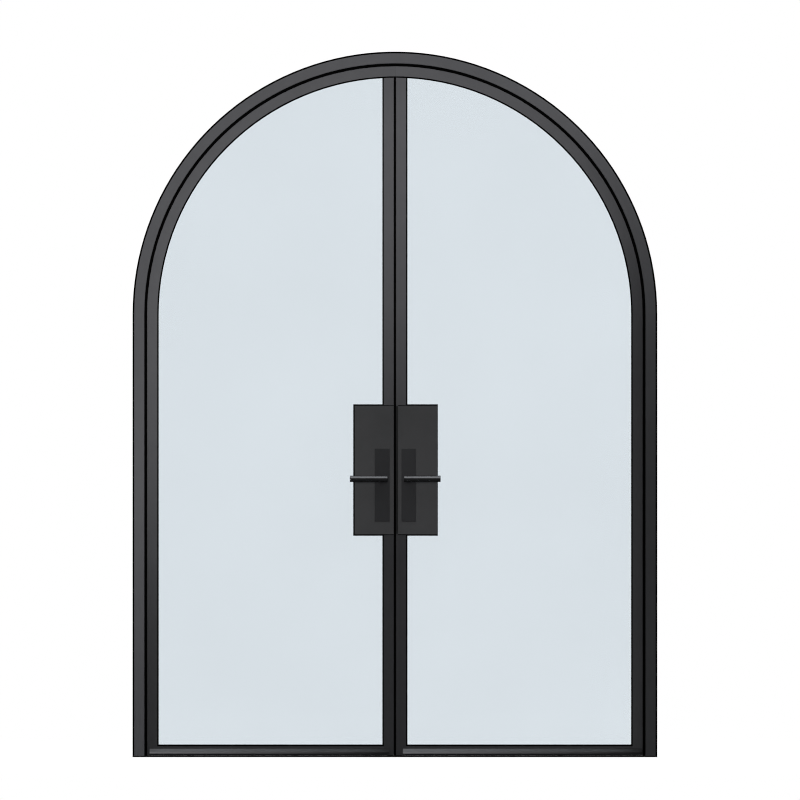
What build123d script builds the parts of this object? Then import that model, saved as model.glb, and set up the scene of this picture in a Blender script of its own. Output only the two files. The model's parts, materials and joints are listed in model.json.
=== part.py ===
from build123d import *
import math
import os

# Arched double door: two side-hinged, glazed steel leaves in one frame with a
# semicircular head and a flush sill plate. Millimetres.
# Origin: middle of the sill plate's underside, halfway through the frame's depth.
# +X to the right seen from outside, +Y towards the room, +Z up.

# ---- driving dimensions: frame ----
HALF_W = 918.0            # half the overall width, and the head's outer radius
SPRING = 1550.5           # height of the arch's centre
FACE = 41.0               # width of the frame seen from the front
DEPTH = 120.0             # frame depth
FRAME_WALL = 3.0
OUTER_ARRIS = 6.0         # broken outer arris all round
SILL_T = 4.5
STOP_W, STOP_Y0, STOP_Y1 = 6.0, -8.0, 4.0
SEAL_SIGHT = 867.5        # inner sight line of the weather seal

# ---- driving dimensions: leaves ----
HINGE_GAP = 4.0
MEET = 4.0                # half the gap between the leaves
LEAF_Y0, LEAF_Y1 = 10.0, 60.0
LEAF_Z0 = 6.5
TUBE_W = 26.0             # hinge stile and arch rail tube
MEET_TUBE = 20.5          # meeting stile tube
FLANGE = 14.5             # glazing flange beside each tube
FLANGE_T = 3.0
LEAF_WALL = 2.5
RAIL_TUBE_TOP, RAIL_TOP = 24.7, 36.7
GASKET_LIP = 5.0          # rubber seen between flange and glass
GLASS_T, GLASS_CAVITY = 6.0, 12.0
GLASS_Y0 = LEAF_Y0 + 6.0

# ---- driving dimensions: lock boxes and handles ----
BOX_Z0, BOX_Z1 = 777.0, 1231.5
PLATE_T = 3.0
PLATE_EDGE, PLATE_EDGE_IN = 2.2, 0.7   # broken edges of the lock plates: outer three, and beside the meeting gap
SPINDLE_Z = 973.5
SPINDLE_Y = 35.0
ESC_Z0, ESC_Z1, ESC_T = 824.0, 1079.0, 2.5
BAR_R = 11.0
BAR_Y = -36.0
NECK_R = 8.5
FACEPLATE_Z0, FACEPLATE_Z1 = 818.0, 1058.0
CASE_Z0, CASE_Z1 = 842.0, 1034.0
LATCH_Z, DEADBOLT_Z, TURN_Z = 1004.0, 920.0, 889.0
ROD_R, ROD_U = 6.0, 14.25
ROD_TOP = 2439.5          # tip of the top shoot bolt, thrown
ROD_BOTTOM = 0.5          # tip of the bottom shoot bolt, thrown

# Per side: +1 is the leaf at +X that opens first, -1 the one held by the shoot bolts.
# lip is the rubber seen beside the lock plate's long edge.
SIDES = {
    "right": dict(s=1, plate0=10.5, plate1=150.3, lip=0.0, esc=(23.5, 73.5), spindle=48.5,
                  bar=(31.5, 160.0), case=(7.0, 75.0), drip=(28.0, 864.5)),
    "left": dict(s=-1, plate0=4.0, plate1=143.0, lip=3.0, esc=(18.5, 70.5), spindle=44.5,
                 bar=(25.5, 157.5), case=(13.5, 68.0), drip=(21.0, 859.0)),
}

# ---- driving dimensions: hinges ----
HINGE_U, HINGE_Y = 875.0, 69.0
HINGE_Z = (220.0, 810.0, 1400.0)
HINGE_H, KNUCKLE_R, PIN_R, PIN_FIT = 110.0, 8.0, 4.0, 0.05
BEARING_GAP = 2.6
LEAF_PLATE_T, LEAF_PLATE_Y0, MORTISE = 3.0, 28.0, 1.5

R_IN = HALF_W - FACE                 # 877, inside of the frame
R_LEAF = R_IN - HINGE_GAP            # 873, outside of the leaves
R_TUBE = R_LEAF - TUBE_W             # 847
R_FLANGE = R_TUBE - FLANGE           # 832.5
R_SIGHT = R_FLANGE - GASKET_LIP      # 827.5, sight line of the glass
U_TUBE = MEET + MEET_TUBE            # 24.5
U_FLANGE = U_TUBE + FLANGE           # 39
U_SIGHT = U_FLANGE + GASKET_LIP      # 44
Z_SIGHT = RAIL_TOP + 6.0             # 42.7
GLASS_Y1 = GLASS_Y0 + 2 * GLASS_T + GLASS_CAVITY   # 40

os.makedirs("parts", exist_ok=True)
NODES = {}


# ---- helpers ----
def bx(x0, x1, y0, y1, z0, z1):
    """A box between two corners, given in any order."""
    xs, ys, zs = sorted((x0, x1)), sorted((y0, y1)), sorted((z0, z1))
    return Pos(sum(xs) / 2, sum(ys) / 2, sum(zs) / 2) * Box(xs[1] - xs[0], ys[1] - ys[0], zs[1] - zs[0])


def cz(x, y, r, z0, z1):
    return Pos(x, y, (z0 + z1) / 2) * Cylinder(r, abs(z1 - z0))


def cy(x, z, r, y0, y1):
    return Pos(x, (y0 + y1) / 2, z) * Rot(90, 0, 0) * Cylinder(r, abs(y1 - y0))


def cx(y, z, r, x0, x1):
    return Pos((x0 + x1) / 2, y, z) * Rot(0, 90, 0) * Cylinder(r, abs(x1 - x0))


def slab(face, y0, y1):
    """A face drawn as (x, z) pushed through from y0 to y1."""
    return Pos(0, y1, 0) * Rot(90, 0, 0) * extrude(face, amount=y1 - y0)


def region(s, u0, r, z0):
    """Half of an arched opening as (x, z): from u0 out to r, up to the arc of radius r."""
    low = Pos(s * (u0 + r) / 2, (z0 + SPRING) / 2) * Rectangle(r - u0, SPRING - z0)
    arc = Pos(0, SPRING) * Circle(r)
    quarter = arc & (Pos(s * (u0 + r) / 2, SPRING + r / 2) * Rectangle(r - u0, r))
    return low + quarter


def rect(s, u0, u1, z0, z1):
    return Pos(s * (u0 + u1) / 2, (z0 + z1) / 2) * Rectangle(u1 - u0, z1 - z0)


def section(points):
    """A closed profile drawn as (u, y)."""
    return make_face(Polyline(*points, close=True))


def upright(s, points, z0, z1):
    """A (u, y) profile run straight up."""
    return Pos(0, 0, z0) * extrude(section([(s * u, y) for u, y in points]), amount=z1 - z0)


def arched(s, points, degrees):
    """A (u, y) profile turned about the arch's axis, from the spring line up."""
    face = Pos(0, 0, SPRING) * section([(s * u, y) for u, y in points])
    return revolve(face, axis=Axis((0, 0, SPRING), (0, -s, 0)), revolution_arc=degrees)


def one(shape):
    """The single solid of a shape."""
    got = shape.solids()
    assert len(got) == 1, len(got)
    return got[0]


def save(name, *shapes):
    solids = []
    for shape in shapes:
        solids += list(shape.solids())
    NODES[name] = solids[0] if len(solids) == 1 else Compound(children=solids)


# ---- frame profile ----
Y0, Y1 = -DEPTH / 2, DEPTH / 2
A = OUTER_ARRIS
FRAME_OUT = [(R_IN + 1.2, Y0), (HALF_W - A, Y0), (HALF_W, Y0 + A), (HALF_W, Y1 - A), (HALF_W - A, Y1),
             (R_IN + 1.2, Y1), (R_IN, Y1 - 1.2), (R_IN, STOP_Y1), (R_IN - STOP_W, STOP_Y1),
             (R_IN - STOP_W, STOP_Y0), (R_IN, STOP_Y0), (R_IN, Y0 + 1.2)]
FRAME_IN = [(R_IN + 3, Y0 + 4), (HALF_W - 4, Y0 + 4), (HALF_W - 4, Y1 - 4), (R_IN + 3, Y1 - 4)]
SEAL = [(R_IN - 0.05, -11), (869.3, -11), (SEAL_SIGHT, -9.2), (SEAL_SIGHT, 7.6), (869.6, 9.7), (875.2, 9.7),
        (876.4, 8.5), (876.4, STOP_Y1), (R_IN - STOP_W, STOP_Y1), (R_IN - STOP_W, STOP_Y0), (R_IN - 0.05, STOP_Y0)]

SCREW_AT = ((-42.0, 38.0), (-18.0, 50.0), (18.0, 50.0), (42.0, 38.0))
ANCHOR_Y, ANCHOR_Z, ANCHOR_R = -35.0, (250.0, 750.0, 1250.0), 4.5


def screw(u_face, direction, y, z, s, length):
    """Countersunk screw along X with a hex socket, head face at u_face, going towards direction in u."""
    d = direction
    prof = Polyline((0, 0), (5.2, 0), (5.2, 0.4), (2.5, 3.0), (2.5, length - 1.2), (1.6, length), (0, length), close=True)
    body = revolve(Plane.XZ * make_face(prof), axis=Axis.Z, revolution_arc=360)
    body -= extrude(RegularPolygon(1.75, 6), amount=1.9)
    turn = 90 if s * d > 0 else -90
    return Pos(s * u_face, y, z) * Rot(0, turn, 0) * body


def screw_hole(u_face, direction, y, z, s, length):
    """Room for that screw: countersink and a tapping hole that just clears the shank."""
    prof = Polyline((0, -0.5), (5.3, -0.5), (5.3, 0.45), (2.56, 3.1), (2.56, length + 0.5), (0, length + 0.5), close=True)
    body = revolve(Plane.XZ * make_face(prof), axis=Axis.Z, revolution_arc=360)
    turn = 90 if s * direction > 0 else -90
    return Pos(s * u_face, y, z) * Rot(0, turn, 0) * body


FRAME_PLATE_U = R_IN - MORTISE        # 875.5, face of the frame's hinge plates
LEAF_PLATE_U = R_LEAF + MORTISE       # 874.5, face of the leaves' hinge plates


def jamb(s):
    body = upright(s, FRAME_OUT, SILL_T, SPRING) - upright(s, FRAME_IN, SILL_T + 3, SPRING + 1)
    for zc in HINGE_Z:
        body += bx(s * (R_IN + 2.9), s * (R_IN + 8), 26, 56.1, zc - 62, zc + 62)
    for zc in HINGE_Z:
        body -= bx(s * (R_IN - 5), s * (R_IN + MORTISE), LEAF_PLATE_Y0, Y1 + 1, zc - HINGE_H / 2, zc + HINGE_H / 2)
        for dz, y in SCREW_AT:
            body -= screw_hole(FRAME_PLATE_U, 1, y, zc + dz, s, 16)
    for z in ANCHOR_Z:
        body -= cx(ANCHOR_Y, z, ANCHOR_R, s * (R_IN - 5), s * (HALF_W + 5))
    return one(body)


save("jamb_left", jamb(-1))
save("jamb_right", jamb(1))

head = arched(1, FRAME_OUT, 180) - arched(1, FRAME_IN, 180)
head -= bx(-ROD_U - 30, -ROD_U + 30, 23, 47, 2420, 2428.9)
head -= cz(-ROD_U, SPINDLE_Y, 6.6, 2425, 2445)
head -= cz(0, ANCHOR_Y, ANCHOR_R, SPRING + R_IN - 20, SPRING + HALF_W + 5)
save("arch_head", one(head))

sill = bx(-HALF_W, HALF_W, Y0, Y1, 0, SILL_T)
sill = chamfer(sill.edges().filter_by(Axis.X).group_by(Axis.Z)[-1], 1.0)
sill -= bx(-ROD_U - 30, -ROD_U + 30, 23, 47, 2.5, 6)
sill -= cz(-ROD_U, SPINDLE_Y, 6.6, -1, 6)
for x in (-600.0, 0.0, 600.0):
    sill -= cz(x, ANCHOR_Y, 3.5, -1, 6)
save("threshold", one(sill))

seal = arched(1, SEAL, 180) + upright(1, SEAL, SILL_T, SPRING) + upright(-1, SEAL, SILL_T, SPRING)
save("frame_seal", one(seal))

save("bolt_keepers",
     bx(-ROD_U - 29.9, -ROD_U + 29.9, 23.1, 46.9, 2426.7, 2428.9) - cz(-ROD_U, SPINDLE_Y, 6.6, 2420, 2440),
     bx(-ROD_U - 29.9, -ROD_U + 29.9, 23.1, 46.9, 2.5, SILL_T) - cz(-ROD_U, SPINDLE_Y, 6.6, -1, 10))

# ---- hinges: five knuckles, three on the frame and two on the leaf ----
KN = (HINGE_H - 4 * BEARING_GAP) / 5


def knuckle_span(zc, i):
    z0 = zc - HINGE_H / 2 + i * (KN + BEARING_GAP)
    return z0, z0 + KN


def hinge_plate(s, zc, on_frame):
    u0, u1 = (FRAME_PLATE_U, FRAME_PLATE_U + LEAF_PLATE_T) if on_frame else (LEAF_PLATE_U - LEAF_PLATE_T, LEAF_PLATE_U)
    body = bx(s * u0, s * u1, LEAF_PLATE_Y0, Y1, zc - HINGE_H / 2 + 0.05, zc + HINGE_H / 2 - 0.05)
    for i in ((0, 2, 4) if on_frame else (1, 3)):
        z0, z1 = knuckle_span(zc, i)
        body += bx(s * u0, s * u1, Y1 - 1, HINGE_Y - 2, max(z0, zc - HINGE_H / 2 + 0.05), min(z1, zc + HINGE_H / 2 - 0.05))
        body += cz(s * HINGE_U, HINGE_Y, KNUCKLE_R, z0, z1)
    body -= cz(s * HINGE_U, HINGE_Y, PIN_R + PIN_FIT, zc - HINGE_H, zc + HINGE_H)
    for dz, y in SCREW_AT:
        if on_frame:
            body -= screw_hole(FRAME_PLATE_U, 1, y, zc + dz, s, 16)
        else:
            body -= screw_hole(LEAF_PLATE_U, -1, y, zc + dz, s, 16)
    return one(body)


def hinge_pin(s, zc):
    h = HINGE_H / 2
    prof = Polyline((0, -h - 5), (4.5, -h - 5), (7.6, -h - 3.2), (7.6, -h - 0.05), (PIN_R, -h - 0.05), (PIN_R, h + 0.05),
                    (7.6, h + 0.05), (7.6, h + 3.2), (4.5, h + 5), (0, h + 5), close=True)
    return Pos(s * HINGE_U, HINGE_Y, zc) * revolve(Plane.XZ * make_face(prof), axis=Axis.Z, revolution_arc=360)


def bearings(s, zc):
    out = []
    for i in range(4):
        z = knuckle_span(zc, i)[1]
        out.append(cz(s * HINGE_U, HINGE_Y, 7.4, z + 0.2, z + BEARING_GAP - 0.2) - cz(s * HINGE_U, HINGE_Y, PIN_R + PIN_FIT, z - 1, z + 4))
    return out


save("frame_hinge_plates", *[hinge_plate(s, zc, True) for s in (-1, 1) for zc in HINGE_Z])
save("frame_hinge_screws", *[screw(FRAME_PLATE_U, 1, y, zc + dz, s, 16) for s in (-1, 1) for zc in HINGE_Z for dz, y in SCREW_AT])
save("hinge_pins", *[hinge_pin(s, zc) for s in (-1, 1) for zc in HINGE_Z])
save("hinge_bearings", *[b for s in (-1, 1) for zc in HINGE_Z for b in bearings(s, zc)])

# ---- leaf profiles as (u, y) ----
STILE_OUT = [(R_FLANGE, LEAF_Y0), (R_LEAF - 0.8, LEAF_Y0), (R_LEAF, LEAF_Y0 + 0.8), (R_LEAF, LEAF_Y1 - 0.8),
             (R_LEAF - 0.8, LEAF_Y1), (R_TUBE + 0.6, LEAF_Y1), (R_TUBE, LEAF_Y1 - 0.6), (R_TUBE, LEAF_Y0 + FLANGE_T),
             (R_FLANGE, LEAF_Y0 + FLANGE_T)]
STILE_TUBE = [(R_TUBE, LEAF_Y0), (R_LEAF - 0.8, LEAF_Y0), (R_LEAF, LEAF_Y0 + 0.8), (R_LEAF, LEAF_Y1 - 0.8),
              (R_LEAF - 0.8, LEAF_Y1), (R_TUBE + 0.6, LEAF_Y1), (R_TUBE, LEAF_Y1 - 0.6)]
W_ = LEAF_WALL
STILE_IN = [(R_TUBE + W_, LEAF_Y0 + W_), (R_LEAF - W_, LEAF_Y0 + W_), (R_LEAF - W_, LEAF_Y1 - W_), (R_TUBE + W_, LEAF_Y1 - W_)]
MEET_TUBE_OUT = [(U_TUBE, LEAF_Y0), (MEET + 0.8, LEAF_Y0), (MEET, LEAF_Y0 + 0.8), (MEET, LEAF_Y1 - 0.8),
                 (MEET + 0.8, LEAF_Y1), (U_TUBE - 0.6, LEAF_Y1), (U_TUBE, LEAF_Y1 - 0.6)]
MEET_IN = [(MEET + W_, LEAF_Y0 + W_), (U_TUBE - W_, LEAF_Y0 + W_), (U_TUBE - W_, LEAF_Y1 - W_), (MEET + W_, LEAF_Y1 - W_)]
MEET_FLANGE = [(U_TUBE - 0.5, LEAF_Y0), (U_FLANGE, LEAF_Y0), (U_FLANGE, LEAF_Y0 + FLANGE_T), (U_TUBE - 0.5, LEAF_Y0 + FLANGE_T)]
BEAD_Y0 = GLASS_Y1 + 3.0
RIM = 14.0                # how far the lock plates reach past the box's rim
LAP_T, LAP_TO = 1.7, 1.7  # the left arch rail's lap over the gap at the crown: its thickness and how far it reaches
GROOVE = 1.6              # depth of the sealed groove between each meeting stile and its arch rail


def plate_edges(body, room_side, s, inner_u):
    """Breaks the front edges of a lock plate: wide on the outer three, narrow beside the meeting gap."""
    side = -1 if room_side else 0
    outer = body.edges().group_by(Axis.Y)[side].filter_by(lambda e: s * e.center().X > inner_u + 1)
    body = chamfer(outer, PLATE_EDGE)
    inner = body.edges().group_by(Axis.Y)[side].filter_by(lambda e: s * e.center().X < inner_u + 1)
    return chamfer(inner, PLATE_EDGE_IN)


def crown_ring(s, r0, r1, u0, u1):
    """The stretch of a ring about the arch's centre that lies over u0 to u1, as (x, z)."""
    ring = Pos(0, SPRING) * (Circle(r1) - Circle(r0))
    return ring & rect(s, u0, u1, SPRING + 780, SPRING + 900)


def leaf(side, p):
    s, p1 = p["s"], p["plate1"]
    rim_u = p1 - RIM
    rim_z0, rim_z1 = BOX_Z0 + 11, BOX_Z1 - 11
    su = p["spindle"]
    passive = s < 0

    # hinge stile
    body = upright(s, STILE_TUBE, LEAF_Z0, SPRING) + upright(s, [(R_FLANGE, LEAF_Y0), (R_TUBE + 0.5, LEAF_Y0), (R_TUBE + 0.5, LEAF_Y0 + FLANGE_T), (R_FLANGE, LEAF_Y0 + FLANGE_T)], RAIL_TUBE_TOP, SPRING)
    body -= upright(s, STILE_IN, LEAF_Z0 + W_, SPRING + 1)
    for zc in HINGE_Z:
        body += bx(s * (R_LEAF - 8), s * (R_LEAF - W_ + 0.1), 26, LEAF_Y1 - W_ + 0.1, zc - 62, zc + 62)
    for zc in HINGE_Z:
        body -= bx(s * (R_LEAF + 5), s * (R_LEAF - MORTISE), LEAF_PLATE_Y0, Y1 + 1, zc - HINGE_H / 2, zc + HINGE_H / 2)
        for dz, y in SCREW_AT:
            body -= screw_hole(LEAF_PLATE_U, -1, y, zc + dz, s, 16)
    save(f"{side}_hinge_stile", one(body))

    # arch rail, closed at its meeting end
    body = arched(s, STILE_OUT, 90) & bx(s * MEET, s * 900, 0, 70, SPRING, SPRING + 900)
    body -= arched(s, STILE_IN, 90) & bx(s * (MEET + W_), s * 900, 0, 70, SPRING, SPRING + 900)
    if passive:
        body += slab(crown_ring(s, R_FLANGE, R_LEAF - 0.8, -LAP_TO, MEET + 2), LEAF_Y0, LEAF_Y0 + LAP_T)
        body -= cz(s * ROD_U, SPINDLE_Y, ROD_R + 0.3, 2380, 2430)
    save(f"{side}_arch_rail", one(body))

    # meeting stile, fitted under the arch rail
    below = bx(s * 0, s * 60, 0, 70, -10, SPRING)
    fit_tube = below + (cy(0, SPRING, R_TUBE, LEAF_Y0 + FLANGE_T, LEAF_Y1 + 1))
    fit_flange = below + (cy(0, SPRING, R_FLANGE, LEAF_Y0 - 1, LEAF_Y0 + FLANGE_T))
    tube = upright(s, MEET_TUBE_OUT, LEAF_Z0, SPRING + R_TUBE + 1)
    flange = upright(s, MEET_FLANGE, RAIL_TUBE_TOP, SPRING + R_TUBE + 1)
    front = bx(s * 0, s * 60, LEAF_Y0 - 1, LEAF_Y0 + FLANGE_T, -10, 2600)
    back = bx(s * 0, s * 60, LEAF_Y0 + FLANGE_T, LEAF_Y1 + 1, -10, 2600)
    body = ((tube + flange) & front & fit_flange) + (tube & back & fit_tube)
    body -= upright(s, MEET_IN, LEAF_Z0 + W_, SPRING + R_TUBE + 2)
    body -= bx(s * (U_TUBE), s * (U_FLANGE + 1), LEAF_Y0 - 1, LEAF_Y0 + FLANGE_T + 1, rim_z0, rim_z1)
    body -= slab(crown_ring(s, R_SIGHT, R_FLANGE + 2, MEET - 1, U_FLANGE + 1), LEAF_Y0 - 1, LEAF_Y0 + GROOVE)
    body -= bx(s * (MEET - 1), s * (U_TUBE + 1), 22.8, 47.2, FACEPLATE_Z0 - 0.2, FACEPLATE_Z1 + 0.2)
    if passive:
        body -= cz(s * ROD_U, SPINDLE_Y, ROD_R + 0.3, LEAF_Z0 - 1, LEAF_Z0 + 5)
    save(f"{side}_meeting_stile", one(body))

    # bottom rail
    rail = bx(s * U_TUBE, s * R_TUBE, LEAF_Y0, LEAF_Y1, LEAF_Z0, RAIL_TUBE_TOP)
    rail += bx(s * U_FLANGE, s * R_FLANGE, LEAF_Y0, LEAF_Y0 + FLANGE_T, RAIL_TUBE_TOP - 0.5, RAIL_TOP)
    rail -= bx(s * 0, s * 870, LEAF_Y0 + W_, LEAF_Y1 - W_, LEAF_Z0 + W_, RAIL_TUBE_TOP - W_)
    save(f"{side}_bottom_rail", one(rail))

    # glass, its spacer and gaskets
    pane = region(s, U_TUBE + 3.5, R_TUBE - 3.5, 28.0) - rect(s, 0, rim_u + 3, rim_z0 - 3, rim_z1 + 3)
    save(f"{side}_glass_panes", slab(pane, GLASS_Y0, GLASS_Y0 + GLASS_T), slab(pane, GLASS_Y1 - GLASS_T, GLASS_Y1))
    ring = (region(s, U_TUBE + 5, R_TUBE - 5, 29.5) - rect(s, 0, rim_u + 4.5, rim_z0 - 4.5, rim_z1 + 4.5)) \
        - (region(s, U_SIGHT - 2, R_SIGHT + 2, 40.5) - rect(s, 0, p1 + p["lip"] - 2, BOX_Z0 - 1, BOX_Z1 + 1))
    save(f"{side}_glass_spacer", one(slab(ring, GLASS_Y0 + GLASS_T, GLASS_Y1 - GLASS_T)))

    sight = region(s, U_SIGHT, R_SIGHT, Z_SIGHT) - rect(s, 0, p1 + p["lip"], BOX_Z0 - 3, BOX_Z1 + 3)
    behind = region(s, U_TUBE + 0.5, R_TUBE - 0.5, 25.2) - rect(s, 0, rim_u + 0.5, rim_z0 - 0.5, rim_z1 + 0.5)
    lip_out = region(s, U_FLANGE + 0.05, R_FLANGE - 0.05, RAIL_TOP + 0.05)
    outer = slab(behind - sight, LEAF_Y0 + FLANGE_T, GLASS_Y0) + slab(lip_out - sight - rect(s, 0, p1 + 0.05, BOX_Z0 - 0.05, BOX_Z1 + 0.05), LEAF_Y0 + 1.2, LEAF_Y0 + FLANGE_T + 0.5)
    around = rect(s, U_FLANGE + 0.1, p1, BOX_Z0, BOX_Z1) - rect(s, 0, rim_u + 0.5, rim_z0 - 0.5, rim_z1 + 0.5)
    outer += slab(around, LEAF_Y0, LEAF_Y0 + FLANGE_T + 0.5)
    outer += slab(crown_ring(s, R_SIGHT + 0.05, R_FLANGE - 0.05, MEET + 0.3, U_FLANGE + 2), LEAF_Y0 + 0.6, LEAF_Y0 + GROOVE)
    inner = slab(behind - sight, GLASS_Y1, BEAD_Y0) + slab(lip_out - sight - rect(s, 0, p1 + 0.05, BOX_Z0 - 0.05, BOX_Z1 + 0.05), BEAD_Y0 - 0.5, BEAD_Y0 + 1.5)
    strips = [one(outer), one(inner)]
    if passive:   # and a strip down this leaf's edge, outside the other leaf's seal
        strips.append(bx(-MEET, MEET - 0.6, LEAF_Y0 + 0.6, LEAF_Y0 + LAP_T, 5.0, SPRING + R_FLANGE - 0.4))
    save(f"{side}_glazing_gaskets", *strips)

    # glazing beads on the room side: thin-walled, butted
    t = 2.0

    def straight(u0, u1, z0, z1, along):
        b = bx(s * u0, s * u1, BEAD_Y0, LEAF_Y1, z0, z1)
        b = chamfer(b.edges().group_by(Axis.Y)[-1], 0.6)
        if along == "z":
            return b - bx(s * (u0 + t), s * (u1 - t), BEAD_Y0 + t, LEAF_Y1 - t, z0 - 1, z1 + 1)
        return b - bx(s * (u0 - 1), s * (u1 + 1), BEAD_Y0 + t, LEAF_Y1 - t, z0 + t, z1 - t)

    bead_arc = [(R_FLANGE, BEAD_Y0), (R_TUBE, BEAD_Y0), (R_TUBE, LEAF_Y1 - 0.6), (R_TUBE - 0.6, LEAF_Y1), (R_FLANGE + 0.6, LEAF_Y1), (R_FLANGE, LEAF_Y1 - 0.6)]
    bead_arc_in = [(R_FLANGE + t, BEAD_Y0 + t), (R_TUBE - t, BEAD_Y0 + t), (R_TUBE - t, LEAF_Y1 - t), (R_FLANGE + t, LEAF_Y1 - t)]
    arc = (arched(s, bead_arc, 90) - arched(s, bead_arc_in, 90)) & bx(s * U_TUBE, s * 900, 0, 70, SPRING, SPRING + 900)
    upper = straight(U_TUBE, U_FLANGE, BOX_Z1, SPRING + R_FLANGE + 5, "z") & (below + cy(0, SPRING, R_FLANGE, 30, 70))
    save(f"{side}_glazing_beads",
         straight(R_FLANGE, R_TUBE, RAIL_TOP, SPRING, "z"), arc,
         straight(U_TUBE, U_FLANGE, RAIL_TOP, BOX_Z0, "z"), upper,
         straight(U_TUBE, R_TUBE, RAIL_TUBE_TOP, RAIL_TOP, "x"),
         straight(U_TUBE, p1, rim_z1, BOX_Z1, "x"), straight(rim_u, p1, rim_z0, rim_z1, "z"),
         straight(U_TUBE, p1, BOX_Z0, rim_z0, "x"))

    # drip bar and bottom sweep
    d0, d1 = p["drip"]
    prof = make_face(Polyline((LEAF_Y0, 11.6), (LEAF_Y0, 29.4), (7.5, 29.4), (-6, 17.5), (-6, 11.6), (-4, 11.6), (-4, 14), (7.5, 14), (7.5, 11.6), close=True))
    bar = extrude(Plane.YZ * prof, amount=d1 - d0)
    save(f"{side}_drip_bar", Pos(d0 if s > 0 else -d1, 0, 0) * bar)
    sweeps = [bx(s * 25.0, s * 868, 31, 39, 5.0, LEAF_Z0)]
    if passive:   # and a pad that closes the gap under the meeting stile
        sweeps.append(bx(s * (MEET + 0.4), s * 25.5, 12, 20, 5.0, LEAF_Z0))
    save(f"{side}_bottom_sweep", *sweeps)

    # leaf side of the hinges
    save(f"{side}_hinge_plates", *[hinge_plate(s, zc, False) for zc in HINGE_Z])
    save(f"{side}_hinge_screws", *[screw(LEAF_PLATE_U, -1, y, zc + dz, s, 16) for zc in HINGE_Z for dz, y in SCREW_AT])

    # lock box: outer face plate with a welded rim behind it
    face = bx(s * p["plate0"], s * p1, LEAF_Y0 - PLATE_T, LEAF_Y0, BOX_Z0, BOX_Z1)
    face = plate_edges(face, False, s, p["plate0"])
    box = face + bx(s * U_TUBE, s * rim_u, LEAF_Y0 - 0.5, LEAF_Y1, rim_z0, rim_z1)
    box -= bx(s * (U_TUBE - 1), s * (rim_u - 3), LEAF_Y0, LEAF_Y1 + 1, rim_z0 + 3, rim_z1 - 3)
    box -= cy(s * su, SPINDLE_Z, 11.0, -1, 20)
    lug_u = (U_TUBE + 10, rim_u - 9)
    lug_z = (rim_z0 + 9, (rim_z0 + rim_z1) / 2 + 60, rim_z1 - 9)
    for u in (lug_u[1],):
        for z in lug_z:
            box += bx(s * (u - 6), s * (u + 7), LEAF_Y1 - 12, LEAF_Y1, z - 6, z + 6)
    for z, e in ((lug_z[0], -1), (lug_z[2], 1)):
        box += bx(s * (lug_u[0] - 6), s * (lug_u[0] + 6), LEAF_Y1 - 12, LEAF_Y1, z - 6 if e > 0 else z - 7, z + 7 if e > 0 else z + 6)
    spots = [(lug_u[1], z) for z in lug_z] + [(lug_u[0], lug_z[0]), (lug_u[0], lug_z[2])]
    for u, z in spots:
        box -= cy(s * u, z, 2.56, LEAF_Y1 - 14, LEAF_Y1 + 1)
    save(f"{side}_lock_box", one(box))

    cover = bx(s * MEET, s * p1, LEAF_Y1, LEAF_Y1 + PLATE_T, BOX_Z0, BOX_Z1)
    cover = plate_edges(cover, True, s, MEET)
    cover -= cy(s * su, SPINDLE_Z, 11.0, 50, 70)
    if not passive:
        cover -= cy(s * su, TURN_Z, 5.6, 50, 70)

    def y_screw(u, z):
        prof_ = Polyline((0, 0), (5.2, 0), (5.2, 0.4), (2.5, 3.0), (2.5, 10.8), (1.6, 12), (0, 12), close=True)
        b = revolve(Plane.XZ * make_face(prof_), axis=Axis.Z, revolution_arc=360) - extrude(RegularPolygon(1.75, 6), amount=1.9)
        return Pos(s * u, LEAF_Y1 + PLATE_T, z) * Rot(90, 0, 0) * b

    for u, z in spots:
        prof_ = Polyline((0, -0.5), (5.3, -0.5), (5.3, 0.45), (2.56, 3.1), (2.56, 13), (0, 13), close=True)
        hole = revolve(Plane.XZ * make_face(prof_), axis=Axis.Z, revolution_arc=360)
        cover -= Pos(s * u, LEAF_Y1 + PLATE_T, z) * Rot(90, 0, 0) * hole
    save(f"{side}_lock_cover", one(cover))
    face_screw_z = (FACEPLATE_Z0 + 10, FACEPLATE_Z1 - 10)
    save(f"{side}_lock_screws", *[y_screw(u, z) for u, z in spots],
         *[screw(MEET, 1, SPINDLE_Y, z, s, 12) for z in face_screw_z])

    # escutcheons, outside and inside
    e0, e1 = p["esc"]
    esc_out = bx(s * e0, s * e1, LEAF_Y0 - PLATE_T - ESC_T, LEAF_Y0 - PLATE_T, ESC_Z0, ESC_Z1)
    esc_out = chamfer(esc_out.edges().group_by(Axis.Y)[0], 0.6) - cy(s * su, SPINDLE_Z, 9.0, -1, 20)
    esc_in = bx(s * e0, s * e1, LEAF_Y1 + PLATE_T, LEAF_Y1 + PLATE_T + ESC_T, ESC_Z0, ESC_Z1)
    esc_in = chamfer(esc_in.edges().group_by(Axis.Y)[-1], 0.6) - cy(s * su, SPINDLE_Z, 9.0, 60, 70)
    if passive:
        save("left_escutcheons", one(esc_out), one(esc_in))
    else:
        esc_in -= cy(s * su, TURN_Z, 5.6, 60, 70)
        save("right_escutcheon_outer", one(esc_out))
        save("right_escutcheon_inner", one(esc_in))

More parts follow.
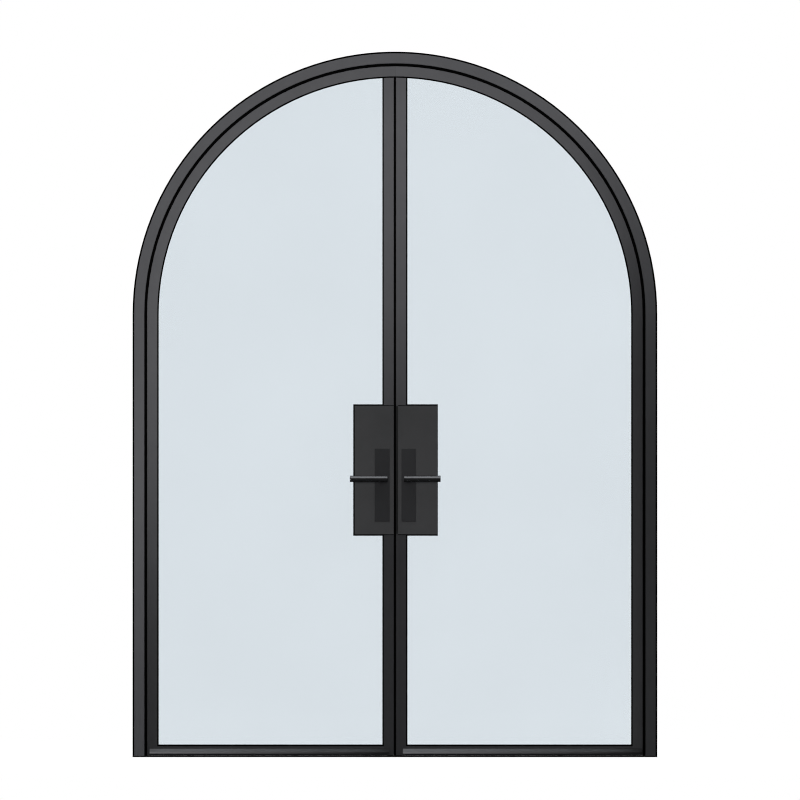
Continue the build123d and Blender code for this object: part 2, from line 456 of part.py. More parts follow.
    # levers with their square spindle and follower
    def lever(mirror_y):
        b0, b1 = p["bar"]
        yb = BAR_Y if not mirror_y else 2 * SPINDLE_Y - BAR_Y
        bar_ = cx(yb, SPINDLE_Z, BAR_R, s * b0, s * b1)
        bar_ = chamfer(bar_.edges().filter_by(GeomType.CIRCLE), 1.2)
        n0, n1 = (BAR_Y, LEAF_Y0 - PLATE_T - ESC_T + 0.9) if not mirror_y else (LEAF_Y1 + PLATE_T + ESC_T - 0.9, yb)
        neck = cy(s * su, SPINDLE_Z, NECK_R, n0, n1)
        collar = cy(s * su, SPINDLE_Z, NECK_R + 2.6, LEAF_Y0 - PLATE_T - ESC_T - 4.3, LEAF_Y0 - PLATE_T - ESC_T - 0.3) if not mirror_y \
            else cy(s * su, SPINDLE_Z, NECK_R + 2.6, LEAF_Y1 + PLATE_T + ESC_T + 0.3, LEAF_Y1 + PLATE_T + ESC_T + 4.3)
        socket = bx(s * su - 4.02, s * su + 4.02, *((-24.0, 20.0) if not mirror_y else (50.0, 94.0)), SPINDLE_Z - 4.02, SPINDLE_Z + 4.02)
        return one(bar_ + neck + collar - socket)

    save(f"{side}_levers", lever(False), lever(True))
    spindle = bx(s * su - 4, s * su + 4, -23.5, 93.5, SPINDLE_Z - 4, SPINDLE_Z + 4)
    save(f"{side}_spindle", spindle)
    c0, c1 = p["case"]
    hub = cy(s * su, SPINDLE_Z, 10.6, 26.2, 43.8)
    tail = bx(s * (su - 4), s * (su + 4), 31, 39, SPINDLE_Z - 18, SPINDLE_Z - 8)
    save(f"{side}_follower", one(hub + tail - bx(s * su - 4.02, s * su + 4.02, 20, 50, SPINDLE_Z - 4.02, SPINDLE_Z + 4.02)))

    # lock case, a thin steel box with its openings
    case = bx(s * c0, s * c1, 26, 44, CASE_Z0, CASE_Z1) - bx(s * (c0 + 1.5), s * (c1 - 1.5), 27.5, 42.5, CASE_Z0 + 1.5, CASE_Z1 - 1.5)
    case -= cy(s * su, SPINDLE_Z, 10.9, 20, 50)
    if passive:
        save("left_lock_case", one(case))
        strike = bx(s * MEET, s * (MEET + 3), 23, 47, FACEPLATE_Z0, FACEPLATE_Z1)
        strike -= bx(s * 0, s * 10, 28.3, 41.7, LATCH_Z - 10, LATCH_Z + 10)
        strike -= bx(s * 0, s * 10, 28.3, 41.7, DEADBOLT_Z - 17, DEADBOLT_Z + 17)
        for z in face_screw_z:
            strike -= screw_hole(MEET, 1, SPINDLE_Y, z, s, 12)
        save("strike_plate", one(strike))
        save("shoot_bolt_top", cz(s * ROD_U, SPINDLE_Y, ROD_R, FACEPLATE_Z1 + 22, ROD_TOP - 2) + Pos(s * ROD_U, SPINDLE_Y, ROD_TOP - 1) * Cone(ROD_R, ROD_R - 2, 2))
        save("shoot_bolt_bottom", cz(s * ROD_U, SPINDLE_Y, ROD_R, ROD_BOTTOM, FACEPLATE_Z0 - 22))
    else:
        case -= bx(s * (c0 - 1), s * (c0 + 2), 29.2, 40.8, LATCH_Z - 8.3, LATCH_Z + 8.3)
        case -= bx(s * (c0 - 1), s * (c0 + 2), 28.7, 41.3, DEADBOLT_Z - 15.3, DEADBOLT_Z + 15.3)
        case -= cy(s * su, TURN_Z, 5.5, 40, 50)
        save("right_lock_case", one(case))
        fp = bx(s * MEET, s * (MEET + 3), 23, 47, FACEPLATE_Z0, FACEPLATE_Z1)
        fp -= bx(s * 0, s * 10, 29.2, 40.8, LATCH_Z - 8.3, LATCH_Z + 8.3)
        fp -= bx(s * 0, s * 10, 28.7, 41.3, DEADBOLT_Z - 15.3, DEADBOLT_Z + 15.3)
        for z in face_screw_z:
            fp -= screw_hole(MEET, 1, SPINDLE_Y, z, s, 12)
        save("lock_faceplate", one(fp))
        nose = make_face(Polyline((-8, 38.5), (-8, 40.5), (14, 40.5), (14, 29.5), (4, 29.5), close=True))
        latch = Pos(0, 0, LATCH_Z - 8) * extrude(nose, amount=16)
        latch += bx(13, 34, 33, 37, LATCH_Z - 6, LATCH_Z + 6)
        save("latch_bolt", one(latch))
        dead = bx(4.3, 36, 29, 41, DEADBOLT_Z - 15, DEADBOLT_Z + 15)
        save("deadbolt", chamfer(dead.edges().group_by(Axis.X)[0], 0.8))
        knob = cy(s * su, TURN_Z, 5.2, 30, 67) + cy(s * su, TURN_Z, 17.0, LEAF_Y1 + PLATE_T + ESC_T + 0.3, 71)
        wing = bx(s * su - 4, s * su + 4, 70, 90, TURN_Z - 18, TURN_Z + 18)
        wing = fillet(wing.edges().filter_by(Axis.X).group_by(Axis.Y)[-1], 8)
        save("thumb_turn", one(knob + wing))
        save("latch_guard", bx(MEET, 10.4, LEAF_Y0 - 1.6, LEAF_Y0, BOX_Z0 + 4, BOX_Z1 - 2))
        strip = [slab(region(1, 0, R_LEAF - 1, 5.0) & rect(1, 0, MEET, 5.0, 2500), y0, y1) + slab(rect(-1, 0, MEET - 0.4, 5.0, SPRING + R_LEAF - 1.1), y0, y1) for y0, y1 in ((12.0, 20.0), (50.0, 58.0))]
        strip[0] += bx(MEET - 0.5, 25.5, 12.0, 20.0, 5.0, LEAF_Z0)
        strip[0] += slab(crown_ring(1, R_FLANGE + 0.1, R_LEAF - 1.2, LAP_TO + 0.2, MEET), LEAF_Y0, 12.5)
        save("meeting_seal", *[one(x) for x in strip])


for side, p in SIDES.items():
    leaf(side, p)

for name, shape in NODES.items():
    export_step(shape, f"parts/{name}.step")
print(len(NODES), "nodes")
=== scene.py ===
import json
import math

import bpy
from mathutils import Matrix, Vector

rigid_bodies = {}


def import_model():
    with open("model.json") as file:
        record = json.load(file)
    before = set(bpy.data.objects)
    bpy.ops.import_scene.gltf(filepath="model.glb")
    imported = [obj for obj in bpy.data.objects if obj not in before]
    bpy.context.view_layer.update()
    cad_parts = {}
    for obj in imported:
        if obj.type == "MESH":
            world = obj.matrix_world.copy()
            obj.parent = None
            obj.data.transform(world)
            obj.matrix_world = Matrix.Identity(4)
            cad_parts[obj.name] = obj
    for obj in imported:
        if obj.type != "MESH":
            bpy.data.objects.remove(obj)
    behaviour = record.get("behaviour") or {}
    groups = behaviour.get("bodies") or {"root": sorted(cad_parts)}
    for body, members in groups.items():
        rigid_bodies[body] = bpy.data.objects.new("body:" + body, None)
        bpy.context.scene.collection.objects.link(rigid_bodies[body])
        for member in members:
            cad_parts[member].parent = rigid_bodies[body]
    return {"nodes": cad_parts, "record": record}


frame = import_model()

# An arched double door in black steel and tinted glass, on a pale studio floor.

nodes = frame["nodes"]
for o in list(bpy.data.objects):
    if o.name in ("Cube", "Light", "Camera"):
        bpy.data.objects.remove(o)
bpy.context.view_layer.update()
scene = bpy.context.scene

# ---------------------------------------------------------------- materials


class Mat:
    """A node material and short ways to add to it. Coordinates are metres in the part's own frame."""

    def __init__(self, name):
        self.m = bpy.data.materials.new(name)
        self.m.use_nodes = True
        self.t = self.m.node_tree
        self.t.nodes.clear()
        self.out = self.t.nodes.new("ShaderNodeOutputMaterial")
        self.co = self.t.nodes.new("ShaderNodeTexCoord").outputs["Object"]

    def n(self, kind, **kw):
        node = self.t.nodes.new(kind)
        for k, v in kw.items():
            setattr(node, k, v)
        return node

    def wire(self, a, b):
        self.t.links.new(a, b)
        return b

    def put(self, node, **values):
        for k, v in values.items():
            sock = node.inputs[k.replace("_", " ")] if k.replace("_", " ") in node.inputs else node.inputs[k]
            if isinstance(v, bpy.types.NodeSocket):
                self.wire(v, sock)
            else:
                sock.default_value = v
        return node

    def scaled(self, sx, sy, sz):
        """The part's coordinates stretched along its axes."""
        mp = self.n("ShaderNodeMapping")
        mp.inputs["Scale"].default_value = (sx, sy, sz)
        self.wire(self.co, mp.inputs["Vector"])
        return mp.outputs["Vector"]

    def noise(self, scale, detail=3.0, rough=0.5, at=None):
        nd = self.n("ShaderNodeTexNoise")
        self.put(nd, Vector=at if at is not None else self.co, Scale=scale, Detail=detail, Roughness=rough)
        return nd.outputs["Fac"]

    def cells(self, scale, at=None):
        nd = self.n("ShaderNodeTexVoronoi")
        self.put(nd, Vector=at if at is not None else self.co, Scale=scale)
        return nd.outputs["Distance"]

    def axis(self, i):
        sep = self.n("ShaderNodeSeparateXYZ")
        self.wire(self.co, sep.inputs[0])
        return sep.outputs[i]

    def normal_axis(self, i):
        geo = self.n("ShaderNodeNewGeometry")
        sep = self.n("ShaderNodeSeparateXYZ")
        self.wire(geo.outputs["True Normal"], sep.inputs[0])
        return sep.outputs[i]

    def fit(self, value, a, b, c, d, smooth=False):
        """value from a..b to c..d, held at its ends."""
        nd = self.n("ShaderNodeMapRange", clamp=True)
        if smooth:
            nd.interpolation_type = "SMOOTHSTEP"
        self.put(nd, Value=value)
        for key, v in zip(("From Min", "From Max", "To Min", "To Max"), (a, b, c, d)):
            nd.inputs[key].default_value = v
        return nd.outputs["Result"]

    def math(self, op, a, b=None, c=None, clamp=False):
        nd = self.n("ShaderNodeMath", operation=op, use_clamp=clamp)
        for i, v in enumerate((a, b, c)):
            if v is None:
                continue
            if isinstance(v, bpy.types.NodeSocket):
                self.wire(v, nd.inputs[i])
            else:
                nd.inputs[i].default_value = v
        return nd.outputs[0]

    def mix(self, fac, a, b, mode="MIX"):
        nd = self.n("ShaderNodeMix", data_type="RGBA", blend_type=mode)
        for sock, v in ((nd.inputs[0], fac), (nd.inputs[6], a), (nd.inputs[7], b)):
            if isinstance(v, bpy.types.NodeSocket):
                self.wire(v, sock)
            elif isinstance(v, (tuple, list)):
                sock.default_value = (*v, 1.0) if len(v) == 3 else v
            else:
                sock.default_value = v
        return nd.outputs[2]

    def bump(self, height, distance, strength=1.0, under=None):
        nd = self.n("ShaderNodeBump")
        self.put(nd, Height=height, Distance=distance, Strength=strength)
        if under is not None:
            self.wire(under, nd.inputs["Normal"])
        return nd.outputs["Normal"]

    def surface(self, color, rough, metallic=0.0, normal=None, specular=0.5, coat=None):
        p = self.n("ShaderNodeBsdfPrincipled")
        if isinstance(color, (tuple, list)):
            color = (*color, 1.0) if len(color) == 3 else color
        self.put(p, **{"Base Color": color, "Roughness": rough, "Metallic": metallic, "Specular IOR Level": specular})
        if normal is not None:
            self.wire(normal, p.inputs["Normal"])
        if coat:
            p.inputs["Coat Weight"].default_value, p.inputs["Coat Roughness"].default_value = coat
        self.wire(p.outputs[0], self.out.inputs["Surface"])
        return self.m


def grey(v, cool=0.0):
    """A near-neutral grey, a little blue for a cool one."""
    return (v, v, v * (1 + 3 * cool))


def powder_coat(name, base, rough=0.46, cool=0.02, dust=0.5, grain=1.0, painted_light_low=None, painted_light_across=None, painted_floor_shade=False, spec=0.5):
    """Satin powder coat on steel: fine leathery grain, faint mottling, a little dust on ledges.
    Two optional tone changes are painted light and shade: one towards the floor, as (top height, bottom height, share
    there), and one along X, as (from, to, share there).
    The foot option blackens its last 3 mm above the floor, a painted shade line where it meets the floor."""
    m = Mat(name)
    broad = m.noise(2.2, 4.0, 0.55)
    patch = m.noise(23.0, 3.0, 0.6)
    fine = m.noise(1150.0, 2.0, 0.55)
    peel = m.cells(620.0)
    tone = m.math("MULTIPLY", m.fit(broad, 0.3, 0.7, 0.94, 1.06), m.fit(patch, 0.3, 0.7, 0.97, 1.03))
    tone = m.math("MULTIPLY", tone, m.fit(fine, 0.3, 0.7, 0.93, 1.07))
    # painted light and shade: the tone grows lighter or darker towards the floor
    if painted_light_low:
        tone = m.math("MULTIPLY", tone, m.fit(m.axis(2), painted_light_low[0], painted_light_low[1], 1.0, painted_light_low[2], True))
    # painted light and shade: the tone grows lighter or darker along X
    if painted_light_across:
        tone = m.math("MULTIPLY", tone, m.fit(m.axis(0), painted_light_across[0], painted_light_across[1], 1.0, painted_light_across[2], True))
    # painted shade: a near-black line along the last 3 mm above the floor
    if painted_floor_shade:
        tone = m.math("MULTIPLY", tone, m.fit(m.axis(2), 0.0031, 0.0036, 0.04, 1.0))
    col = m.mix(1.0, grey(base, cool), m.comb(tone), "MULTIPLY")
    ledge = m.fit(m.normal_axis(2), 0.75, 1.0, 0.0, 1.0)
    specks = m.fit(m.noise(310.0, 4.0, 0.7), 0.42, 0.72, 0.0, 1.0)
    dusty = m.math("MULTIPLY", m.math("MULTIPLY", ledge, specks), dust)
    col = m.mix(dusty, col, (0.16, 0.155, 0.145))
    rub = m.fit(m.noise(7.0, 5.0, 0.62), 0.35, 0.7, -0.05, 0.06)
    r = m.math("ADD", m.math("ADD", m.fit(fine, 0.2, 0.8, rough - 0.05, rough + 0.05), rub), m.math("MULTIPLY", dusty, 0.3))
    nrm = m.bump(peel, 0.00012 * grain, 0.35)
    nrm = m.bump(fine, 0.00010 * grain, 0.5, nrm)
    return m.surface(col, r, 0.0, nrm, spec)


def _comb(self, v):
    nd = self.n("ShaderNodeCombineXYZ")
    for i in range(3):
        self.wire(v, nd.inputs[i])
    return nd.outputs[0]


Mat.comb = _comb


def rubber(name, base=0.0014):
    """Black weather seal: matt, with extrusion lines and a dusting of bloom."""
    m = Mat(name)
    lines = m.noise(900.0, 2.0, 0.5, m.scaled(1.0, 1.0, 0.02))
    bloom = m.noise(60.0, 5.0, 0.65)
    tone = m.fit(bloom, 0.35, 0.75, 0.85, 1.5)
    col = m.mix(1.0, grey(base, 0.0), m.comb(tone), "MULTIPLY")
    r = m.fit(lines, 0.3, 0.7, 0.62, 0.82)
    return m.surface(col, r, 0.0, m.bump(lines, 0.00015, 0.4), 0.05)


def painted_edge_shade(name, base=0.0022, specular=0.08):
    """Painted shade on an arris: near-black and matt with a fine grain, a painted shade line along the edge."""
    m = Mat(name)
    g = m.noise(420.0, 4.0, 0.6)
    tone = m.fit(g, 0.3, 0.7, 0.7, 1.35)
    col = m.mix(1.0, grey(base, 0.0), m.comb(tone), "MULTIPLY")
    return m.surface(col, m.fit(g, 0.3, 0.7, 0.75, 0.95), 0.0, m.bump(g, 0.0002, 0.4), specular)


def black_bar(name, base=0.19):
    """Satin black over steel on levers and knobs: tighter and glossier than the frame, with painted light and shade:
    lighter on faces turned up, darker on faces turned down.
    """
    m = Mat(name)
    fine = m.noise(1600.0, 2.0, 0.5)
    swirl = m.noise(38.0, 5.0, 0.6)
    brushed = m.noise(240.0, 3.0, 0.6, m.scaled(0.05, 1.0, 1.0))
    tone = m.math("MULTIPLY", m.fit(swirl, 0.3, 0.7, 0.9, 1.12), m.fit(fine, 0.3, 0.7, 0.95, 1.05))
    # painted light and shade: faces turned up are lighter, faces turned down darker
    tone = m.math("MULTIPLY", tone, m.fit(m.normal_axis(2), -0.15, 0.2, 0.45, 1.15))
    col = m.mix(1.0, grey(base, 0.01), m.comb(tone), "MULTIPLY")
    r = m.math("ADD", m.fit(swirl, 0.3, 0.7, 0.20, 0.27), m.fit(fine, 0.2, 0.8, -0.02, 0.03))
    nrm = m.bump(brushed, 0.00006, 0.35)
    nrm = m.bump(fine, 0.00004, 0.5, nrm)
    return m.surface(col, r, 0.92, nrm, 0.5)


def brushed(name, base=0.42, along=(1.0, 1.0, 0.03), rough=0.34, tint=(1.0, 1.0, 1.02)):
    """Brushed stainless steel with fine scratches along one way and faint handling marks."""
    m = Mat(name)
    lines = m.noise(1400.0, 4.0, 0.7, m.scaled(*along))
    smear = m.noise(45.0, 4.0, 0.6)
    tone = m.math("MULTIPLY", m.fit(lines, 0.25, 0.75, 0.86, 1.1), m.fit(smear, 0.3, 0.7, 0.93, 1.05))
    col = m.mix(1.0, tuple(base * t for t in tint), m.comb(tone), "MULTIPLY")
    r = m.math("ADD", m.fit(lines, 0.25, 0.75, rough - 0.07, rough + 0.08), m.fit(smear, 0.3, 0.7, -0.03, 0.05))
    return m.surface(col, r, 1.0, m.bump(lines, 0.00005, 0.4), 0.5)


def bronze(name):
    """Oiled bronze washers, darker where the oil film is thick."""
    m = Mat(name)
    film = m.noise(320.0, 4.0, 0.6)
    turned = m.noise(2600.0, 2.0, 0.5, m.scaled(0.1, 0.1, 1.0))
    col = m.mix(m.fit(film, 0.35, 0.7, 0.0, 1.0), (0.30, 0.19, 0.075), (0.13, 0.075, 0.03))
    return m.surface(col, m.fit(film, 0.3, 0.7, 0.24, 0.42), 1.0, m.bump(turned, 0.00004, 0.4), 0.5)


def oxide(name, base=0.018):
    """Black-oxide screws and pins: dark, faintly blue, rubbed a little brighter in places."""
    m = Mat(name)
    a = m.noise(520.0, 4.0, 0.65)
    b = m.noise(2400.0, 2.0, 0.5)
    col = m.mix(m.fit(a, 0.45, 0.75, 0.0, 0.55), grey(base, 0.05), grey(base * 3.2, 0.01))
    return m.surface(col, m.fit(a, 0.3, 0.7, 0.34, 0.52), 0.75, m.bump(b, 0.00004, 0.5), 0.5)


def sill_black(name):
    """Black-anodised sill: fine streaks along its length, scuffed lighter where feet land, dust in the middle."""
    m = Mat(name)
    streak = m.noise(700.0, 4.0, 0.65, m.scaled(0.02, 1.0, 1.0))
    scuff = m.noise(17.0, 6.0, 0.7)
    up = m.fit(m.normal_axis(2), 0.6, 1.0, 0.0, 1.0)
    worn = m.math("MULTIPLY", m.fit(scuff, 0.45, 0.75, 0.0, 0.35), up)
    col = m.mix(worn, grey(0.014, 0.02), grey(0.045, 0.0))
    tone = m.fit(streak, 0.3, 0.7, 0.8, 1.2)
    col = m.mix(1.0, col, m.comb(tone), "MULTIPLY")
    return m.surface(col, m.fit(streak, 0.3, 0.7, 0.36, 0.55), 0.6, m.bump(streak, 0.00008, 0.4), 0.4)


def drip(name, x_light, x_dark, light=0.205, dark=0.008):
    """Drip bar: satin black with painted light: lighter towards one end of its length and much lighter on its
    front-facing nose, and darker along its top millimetre."""
    m = Mat(name)
    # painted light: the bar grows lighter towards one end of its length
    along = m.fit(m.axis(0), x_light, x_dark, 0.0, 1.0)
    along = m.math("POWER", along, 0.75)
    wob = m.noise(9.0, 5.0, 0.6, m.scaled(1.0, 0.2, 0.2))
    along = m.math("ADD", along, m.fit(wob, 0.3, 0.7, -0.03, 0.03), clamp=True)
    fine = m.noise(1100.0, 2.0, 0.55)
    streak = m.noise(600.0, 3.0, 0.6, m.scaled(0.03, 1.0, 1.0))
    col = m.mix(along, grey(light, 0.01), grey(dark, 0.01))
    tone = m.math("MULTIPLY", m.fit(fine, 0.3, 0.7, 0.94, 1.06), m.fit(streak, 0.3, 0.7, 0.95, 1.05))
    # painted light: the face turned to the front is made about twice as light
    tone = m.math("MULTIPLY", tone, m.fit(m.normal_axis(1), -0.99, -0.9, 2.1, 1.0))
    # darker along the top millimetre
    tone = m.math("MULTIPLY", tone, m.fit(m.axis(2), 0.0277, 0.0284, 1.0, 0.12))
    col = m.mix(1.0, col, m.comb(tone), "MULTIPLY")
    nrm = m.bump(streak, 0.00006, 0.4)
    return m.surface(col, m.fit(streak, 0.3, 0.7, 0.40, 0.52), 0.0, m.bump(fine, 0.00008, 0.5, nrm), 0.5)


def spacer(name):
    """Warm-edge spacer: matt black plastic with pin-pricked breather holes along its face."""
    m = Mat(name)
    g = m.noise(800.0, 3.0, 0.6)
    pricks = m.fit(m.cells(260.0), 0.0, 0.16, 0.0, 1.0)
    col = m.mix(pricks, grey(0.002), grey(0.012, 0.01))
    return m.surface(col, m.fit(g, 0.3, 0.7, 0.55, 0.75), 0.0, m.bump(g, 0.0001, 0.4), 0.3)


def glass(name, tint, waviness=0.00002):
    """One surface of a float-glass pane: tinted see-through with a faint, slightly wavy reflection and a film of dust."""
    m = Mat(name)
    clean = m.noise(1.7, 3.0, 0.5)
    haze = m.noise(5.0, 5.0, 0.6)
    tone = m.fit(clean, 0.3, 0.7, 0.996, 1.003)
    see = m.n("ShaderNodeBsdfTransparent")
    m.wire(m.mix(1.0, tint, m.comb(tone), "MULTIPLY"), see.inputs["Color"])
    gloss = m.n("ShaderNodeBsdfGlossy")
    gloss.inputs["Color"].default_value = (0.96, 0.98, 1.0, 1.0)
    m.wire(m.fit(haze, 0.3, 0.7, 0.015, 0.05), gloss.inputs["Roughness"])
    wave = m.bump(m.noise(3.2, 2.0, 0.5), waviness, 1.0)
    m.wire(wave, gloss.inputs["Normal"])
    facing = m.n("ShaderNodeLayerWeight")
    facing.inputs["Blend"].default_value = 0.5
    fres = m.math("MULTIPLY_ADD", m.math("POWER", facing.outputs["Facing"], 5.0), 0.50, 0.035)
    mixed = m.n("ShaderNodeMixShader")
    m.wire(fres, mixed.inputs[0])
    m.wire(see.outputs[0], mixed.inputs[1])
    m.wire(gloss.outputs[0], mixed.inputs[2])
    m.wire(mixed.outputs[0], m.out.inputs["Surface"])
    return m.m


def glass_edge(name):
    """The ground edge of a pane: darker, greener and matt."""
    m = Mat(name)
    g = m.noise(900.0, 3.0, 0.6)
    col = m.mix(m.fit(g, 0.3, 0.7, 0.0, 1.0), (0.045, 0.085, 0.075), (0.08, 0.13, 0.12))
    return m.surface(col, m.fit(g, 0.3, 0.7, 0.4, 0.65), 0.0, m.bump(g, 0.0001, 0.5), 0.5)


FRAME = powder_coat("frame_paint_coat", 0.066)
# Copies of the frame's powder coat that carry painted light and shade: each member's base tone and its gradients
# towards the floor and along X are set member by member to stand in for how the lamps light it, brighter at the upper
# left and darker at the lower right. On the lock boxes and plates they even out the lamps' falloff.
HEAD = powder_coat("head_coat", 0.066, painted_light_across=(0.15, 0.70, 1.11))
JAMB_L = powder_coat("left_jamb_coat", 0.0665, painted_light_low=(1.65, 0.1, 1.9), painted_floor_shade=True)
JAMB_R = powder_coat("right_jamb_coat", 0.0715, painted_light_low=(1.55, 1.0, 0.72), painted_floor_shade=True)
LEAF = powder_coat("leaf_paint_coat", 0.0765, painted_light_low=(1.0, 0.2, 0.81))
RAIL_R = powder_coat("right_rail_coat", 0.079, painted_light_low=(1.9, 1.56, 0.79))
STILE_R = powder_coat("right_stile_coat", 0.061, painted_light_low=(1.15, 0.80, 1.15))
MEETING = powder_coat("meeting_paint_coat", 0.073, painted_light_low=(2.15, 0.6, 0.69))
BOX = powder_coat("box_paint_coat", 0.0475, 0.5, 0.01, painted_light_low=(1.27, 0.80, 1.66), painted_light_across=(-0.03, 0.10, 1.14))
GUARD = powder_coat("guard_coat", 0.013, 0.5, 0.0)
PLATE = powder_coat("plate_black_coat", 0.029, 0.55, 0.02, painted_light_low=(1.08, 0.82, 1.25), painted_light_across=(-0.02, 0.03, 1.17))
RUBBER = rubber("seal_rubber", 0.0011)
# painted shade lines for the frame's outer edge and the plates' edges
OUTLINE = painted_edge_shade("outer_arris", 0.0012, 0.0)
EDGE = painted_edge_shade("plate_arris")
SILL_FRONT = powder_coat("sill_front_coat", 0.066, painted_floor_shade=True, spec=0.03)
LEVER = black_bar("lever_satin_black")
SPACER = spacer("spacer_black")
SILL = sill_black("sill_anodised")
BRONZE = bronze("bearing_bronze_oiled")
OXIDE = oxide("fastener_oxide")
STEEL = brushed("lock_steel_brushed")
GLASS = glass("pane_glass", (0.941, 0.961, 0.975))
GEDGE = glass_edge("pane_edge")
DRIP = {"left": drip("left_drip_coat", -0.859, -0.021), "right": drip("right_drip_coat", 0.028, 0.8645)}

BY_SLOT = {
    "frame_paint": FRAME, "box_paint": BOX, "plate_black": PLATE, "handle_black": LEVER, "black_rubber": RUBBER,
    "glass": GLASS, "edge_spacer": SPACER, "sill_metal": SILL, "drip_metal": DRIP["left"], "bearing_bronze": BRONZE,
    "black_fasteners": OXIDE, "lock_steel": STEEL,
}
slot_of = {s["node"]: s["material_slot"] for s in frame["record"]["subparts"]}


def paint(name, *mats):
    me = nodes[name].data
    me.materials.clear()
    for m in mats:
        me.materials.append(m)


for name in nodes:
    paint(name, BY_SLOT[slot_of[name]])
paint("right_drip_bar", DRIP["right"])
paint("latch_guard", GUARD)
# the members below get the copies of the frame paint that carry painted light and shade
paint("arch_head", HEAD)
paint("jamb_left", JAMB_L)
paint("jamb_right", JAMB_R)
for side in ("left", "right"):
    for part in ("arch_rail", "hinge_stile", "bottom_rail", "glazing_beads", "hinge_plates"):
        paint(f"{side}_{part}", LEAF)
    paint(f"{side}_meeting_stile", MEETING)
paint("right_arch_rail", RAIL_R)
paint("right_hinge_stile", STILE_R)


def repaint(name, mat, where):
    """Gives the polygons that where() picks, from their centre and normal, another material."""
    me = nodes[name].data
    me.materials.append(mat)
    at = len(me.materials) - 1
    for p in me.polygons:
        if where(p.center, p.normal):
            p.material_index = at


SPRING, R_OUT = 1.5505, 0.918


def on_outer_arris(c, n):
    """On the broken outer edge at the front or back of the frame."""
    r = math.hypot(c.x, c.z - SPRING) if c.z > SPRING else abs(c.x)
    return r > R_OUT - 0.018 and 0.45 < abs(n.y) < 0.95


# painted shade: the frame's outer chamfers are made near-black, a shade line round its edge
for name in ("arch_head", "jamb_left", "jamb_right"):
    repaint(name, OUTLINE, on_outer_arris)
# the sill's front face in frame paint, with the painted shade line along its bottom
repaint("threshold", SILL_FRONT, lambda c, n: n.y < -0.9)
# the seal's capped end at the crown is finished with the rail it fills
repaint("meeting_seal", RAIL_R, lambda c, n: c.y < 0.0119 and c.z > SPRING + 0.8325)
for side in ("left", "right"):
    repaint(f"{side}_glass_panes", GEDGE, lambda c, n: abs(n.y) < 0.7)
    # painted shade: the lock box and cover chamfers are made near-black, a shade line round each plate
    repaint(f"{side}_lock_box", EDGE, lambda c, n: c.y < 0.0101 and 0.2 < abs(n.y) < 0.95 and (abs(n.z) > 0.2 or abs(c.x) > 0.1))
    repaint(f"{side}_lock_cover", EDGE, lambda c, n: c.y > 0.0599 and 0.2 < abs(n.y) < 0.95 and (abs(n.z) > 0.2 or abs(c.x) > 0.1) and math.hypot(n.x, n.z) > 0.3 and (c.z > 1.228 or c.z < 0.784 or abs(c.x) > 0.139))

# ---------------------------------------------------------------- stage

FLOOR_R = 400.0


def floor_material():
    m = Mat("studio_floor")
    lp = m.n("ShaderNodeLightPath")
    grain = m.noise(6.0, 4.0, 0.6)
    dif = m.n("ShaderNodeBsdfDiffuse")
    m.wire(m.mix(m.fit(grain, 0.3, 0.7, 0.0, 1.0), (0.17, 0.17, 0.17), (0.18, 0.18, 0.178)), dif.inputs["Color"])
    em = m.n("ShaderNodeEmission")
    em.inputs["Color"].default_value = (1.0, 1.0, 1.0, 1.0)
    flat = m.n("ShaderNodeVectorMath", operation="LENGTH")
    m.wire(m.scaled(1.0, 1.0, 0.0), flat.inputs[0])
    em.inputs["Strength"].default_value = 0.90
    near = m.n("ShaderNodeAddShader")
    m.wire(dif.outputs[0], near.inputs[0])
    m.wire(em.outputs[0], near.inputs[1])
    white = m.n("ShaderNodeEmission")
    white.inputs["Strength"].default_value = 1.0
    add = m.n("ShaderNodeMixShader")
    m.wire(m.fit(flat.outputs["Value"], 1.0, 4.5, 0.0, 1.0, True), add.inputs[0])
    m.wire(near.outputs[0], add.inputs[1])
    m.wire(white.outputs[0], add.inputs[2])
    dim = m.n("ShaderNodeBsdfDiffuse")
    dim.inputs["Color"].default_value = (0.10, 0.10, 0.10, 1.0)
    mixed = m.n("ShaderNodeMixShader")
    m.wire(lp.outputs["Is Camera Ray"], mixed.inputs[0])
    m.wire(dim.outputs[0], mixed.inputs[1])
    m.wire(add.outputs[0], mixed.inputs[2])
    m.wire(mixed.outputs[0], m.out.inputs["Surface"])
    return m.m


bpy.ops.mesh.primitive_circle_add(vertices=128, radius=FLOOR_R, fill_type="NGON", location=(0, 0, -0.0005))
floor = bpy.context.active_object
floor.name = "studio_floor"
floor.data.materials.append(floor_material())

world = bpy.data.worlds.new("studio") if scene.world is None else scene.world
scene.world = world
world.use_nodes = True
wt = world.node_tree
wt.nodes.clear()
w_out = wt.nodes.new("ShaderNodeOutputWorld")
w_mix = wt.nodes.new("ShaderNodeMixShader")
w_lp = wt.nodes.new("ShaderNodeLightPath")
w_dim = wt.nodes.new("ShaderNodeBackground")
w_seen = wt.nodes.new("ShaderNodeBackground")
w_dim.inputs["Color"].default_value = (0.95, 0.975, 1.0, 1.0)
w_co = wt.nodes.new("ShaderNodeTexCoord")
w_sep = wt.nodes.new("ShaderNodeSeparateXYZ")
w_up = wt.nodes.new("ShaderNodeMapRange")
w_up.interpolation_type = "SMOOTHSTEP"
for key, v in (("From Min", 0.45), ("From Max", 0.85), ("To Min", 0.10), ("To Max", 1.0)):
    w_up.inputs[key].default_value = v
wt.links.new(w_co.outputs["Generated"], w_sep.inputs[0])
wt.links.new(w_sep.outputs[2], w_up.inputs["Value"])
wt.links.new(w_up.outputs["Result"], w_dim.inputs["Strength"])
w_seen.inputs["Color"].default_value = (1.0, 1.0, 1.0, 1.0)
w_seen.inputs["Strength"].default_value = 1.0
wt.links.new(w_lp.outputs["Is Camera Ray"], w_mix.inputs[0])
wt.links.new(w_dim.outputs[0], w_mix.inputs[1])
wt.links.new(w_seen.outputs[0], w_mix.inputs[2])
wt.links.new(w_mix.outputs[0], w_out.inputs["Surface"])


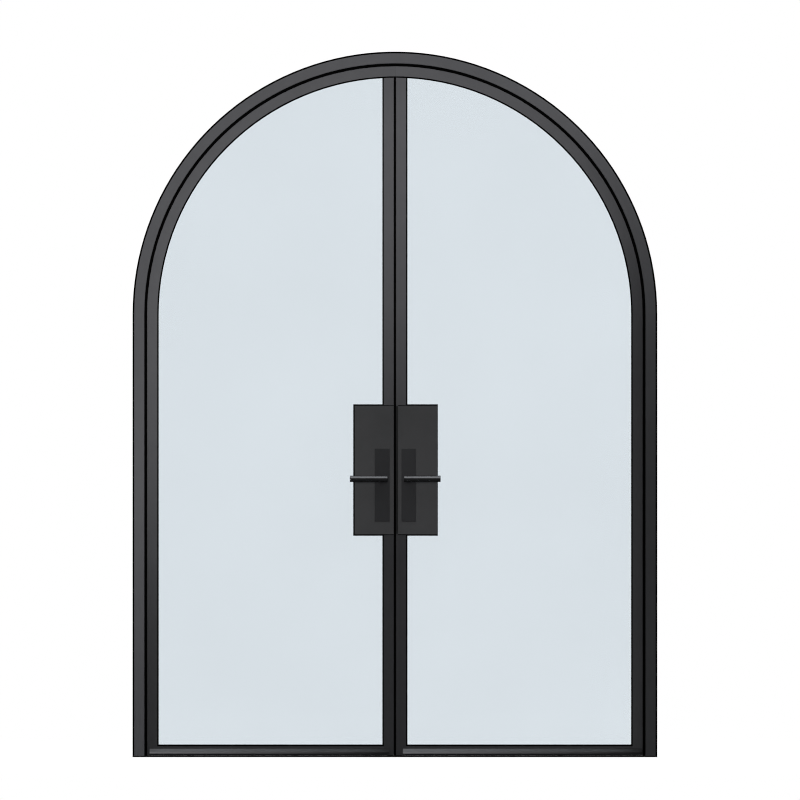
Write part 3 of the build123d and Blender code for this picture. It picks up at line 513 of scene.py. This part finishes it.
def softbox(name, at, towards, size, watts, color=(1.0, 1.0, 1.0)):
    data = bpy.data.lights.new(name, "AREA")
    data.shape = "RECTANGLE"
    data.size, data.size_y = size
    data.energy = watts
    data.color = color
    o = bpy.data.objects.new(name, data)
    o.location = at
    o.rotation_mode = "QUATERNION"
    o.rotation_quaternion = (Vector(towards) - Vector(at)).to_track_quat("-Z", "Y")
    o.visible_camera = False
    scene.collection.objects.link(o)
    return o


# The key stands far in front, inside the doorway's outline, and only the soft edge of
# its beam falls across the door: bright at the upper left, fading towards the lower right.
key = bpy.data.lights.new("key", "SPOT")
key.energy = 2750.0
key.spot_size = 2 * 1.234
key.spot_blend = 0.195
key.shadow_soft_size = 0.5
key_at, key_to = Vector((-0.5, -9.0, 1.9)), Vector((-10.083, 0.0, 16.0))
key_light = bpy.data.objects.new("key", key)
key_light.location = key_at
key_light.rotation_mode = "QUATERNION"
key_light.rotation_quaternion = (key_to - key_at).to_track_quat("-Z", "Y")
key_light.visible_camera = False
key_light.visible_glossy = False
scene.collection.objects.link(key_light)
fill = softbox("fill", (0.0, -10.0, 1.6), (0.0, 0.0, 1.3), (5.0, 5.0), 200.0)
fill.visible_glossy = False
room = softbox("room_side", (1.6, 3.2, 3.0), (0.1, 0.0, 1.3), (2.6, 2.6), 60.0)
room.visible_glossy = False

# ---------------------------------------------------------------- camera

FACE_Y = -0.060
M_PER_PX, PX = 0.0034988, 800
LENS, SENSOR = 1000.0, 36.0
dist = M_PER_PX * PX * LENS / SENSOR
cam_data = bpy.data.cameras.new("camera")
cam_data.lens = LENS
cam_data.sensor_width = SENSOR
cam_data.clip_start, cam_data.clip_end = 0.5, 200.0
cam = bpy.data.objects.new("camera", cam_data)
cam.location = (0.0178, FACE_Y - dist, 1.2495)
cam.rotation_euler = (math.radians(90.0), 0.0, 0.0)
scene.collection.objects.link(cam)
scene.camera = cam

scene.view_settings.view_transform = "Standard"
scene.view_settings.look = "None"
scene.view_settings.exposure = 0.0
scene.view_settings.gamma = 1.0
scene.cycles.transparent_max_bounces = 24
scene.cycles.max_bounces = 10
scene.cycles.filter_width = 1.1
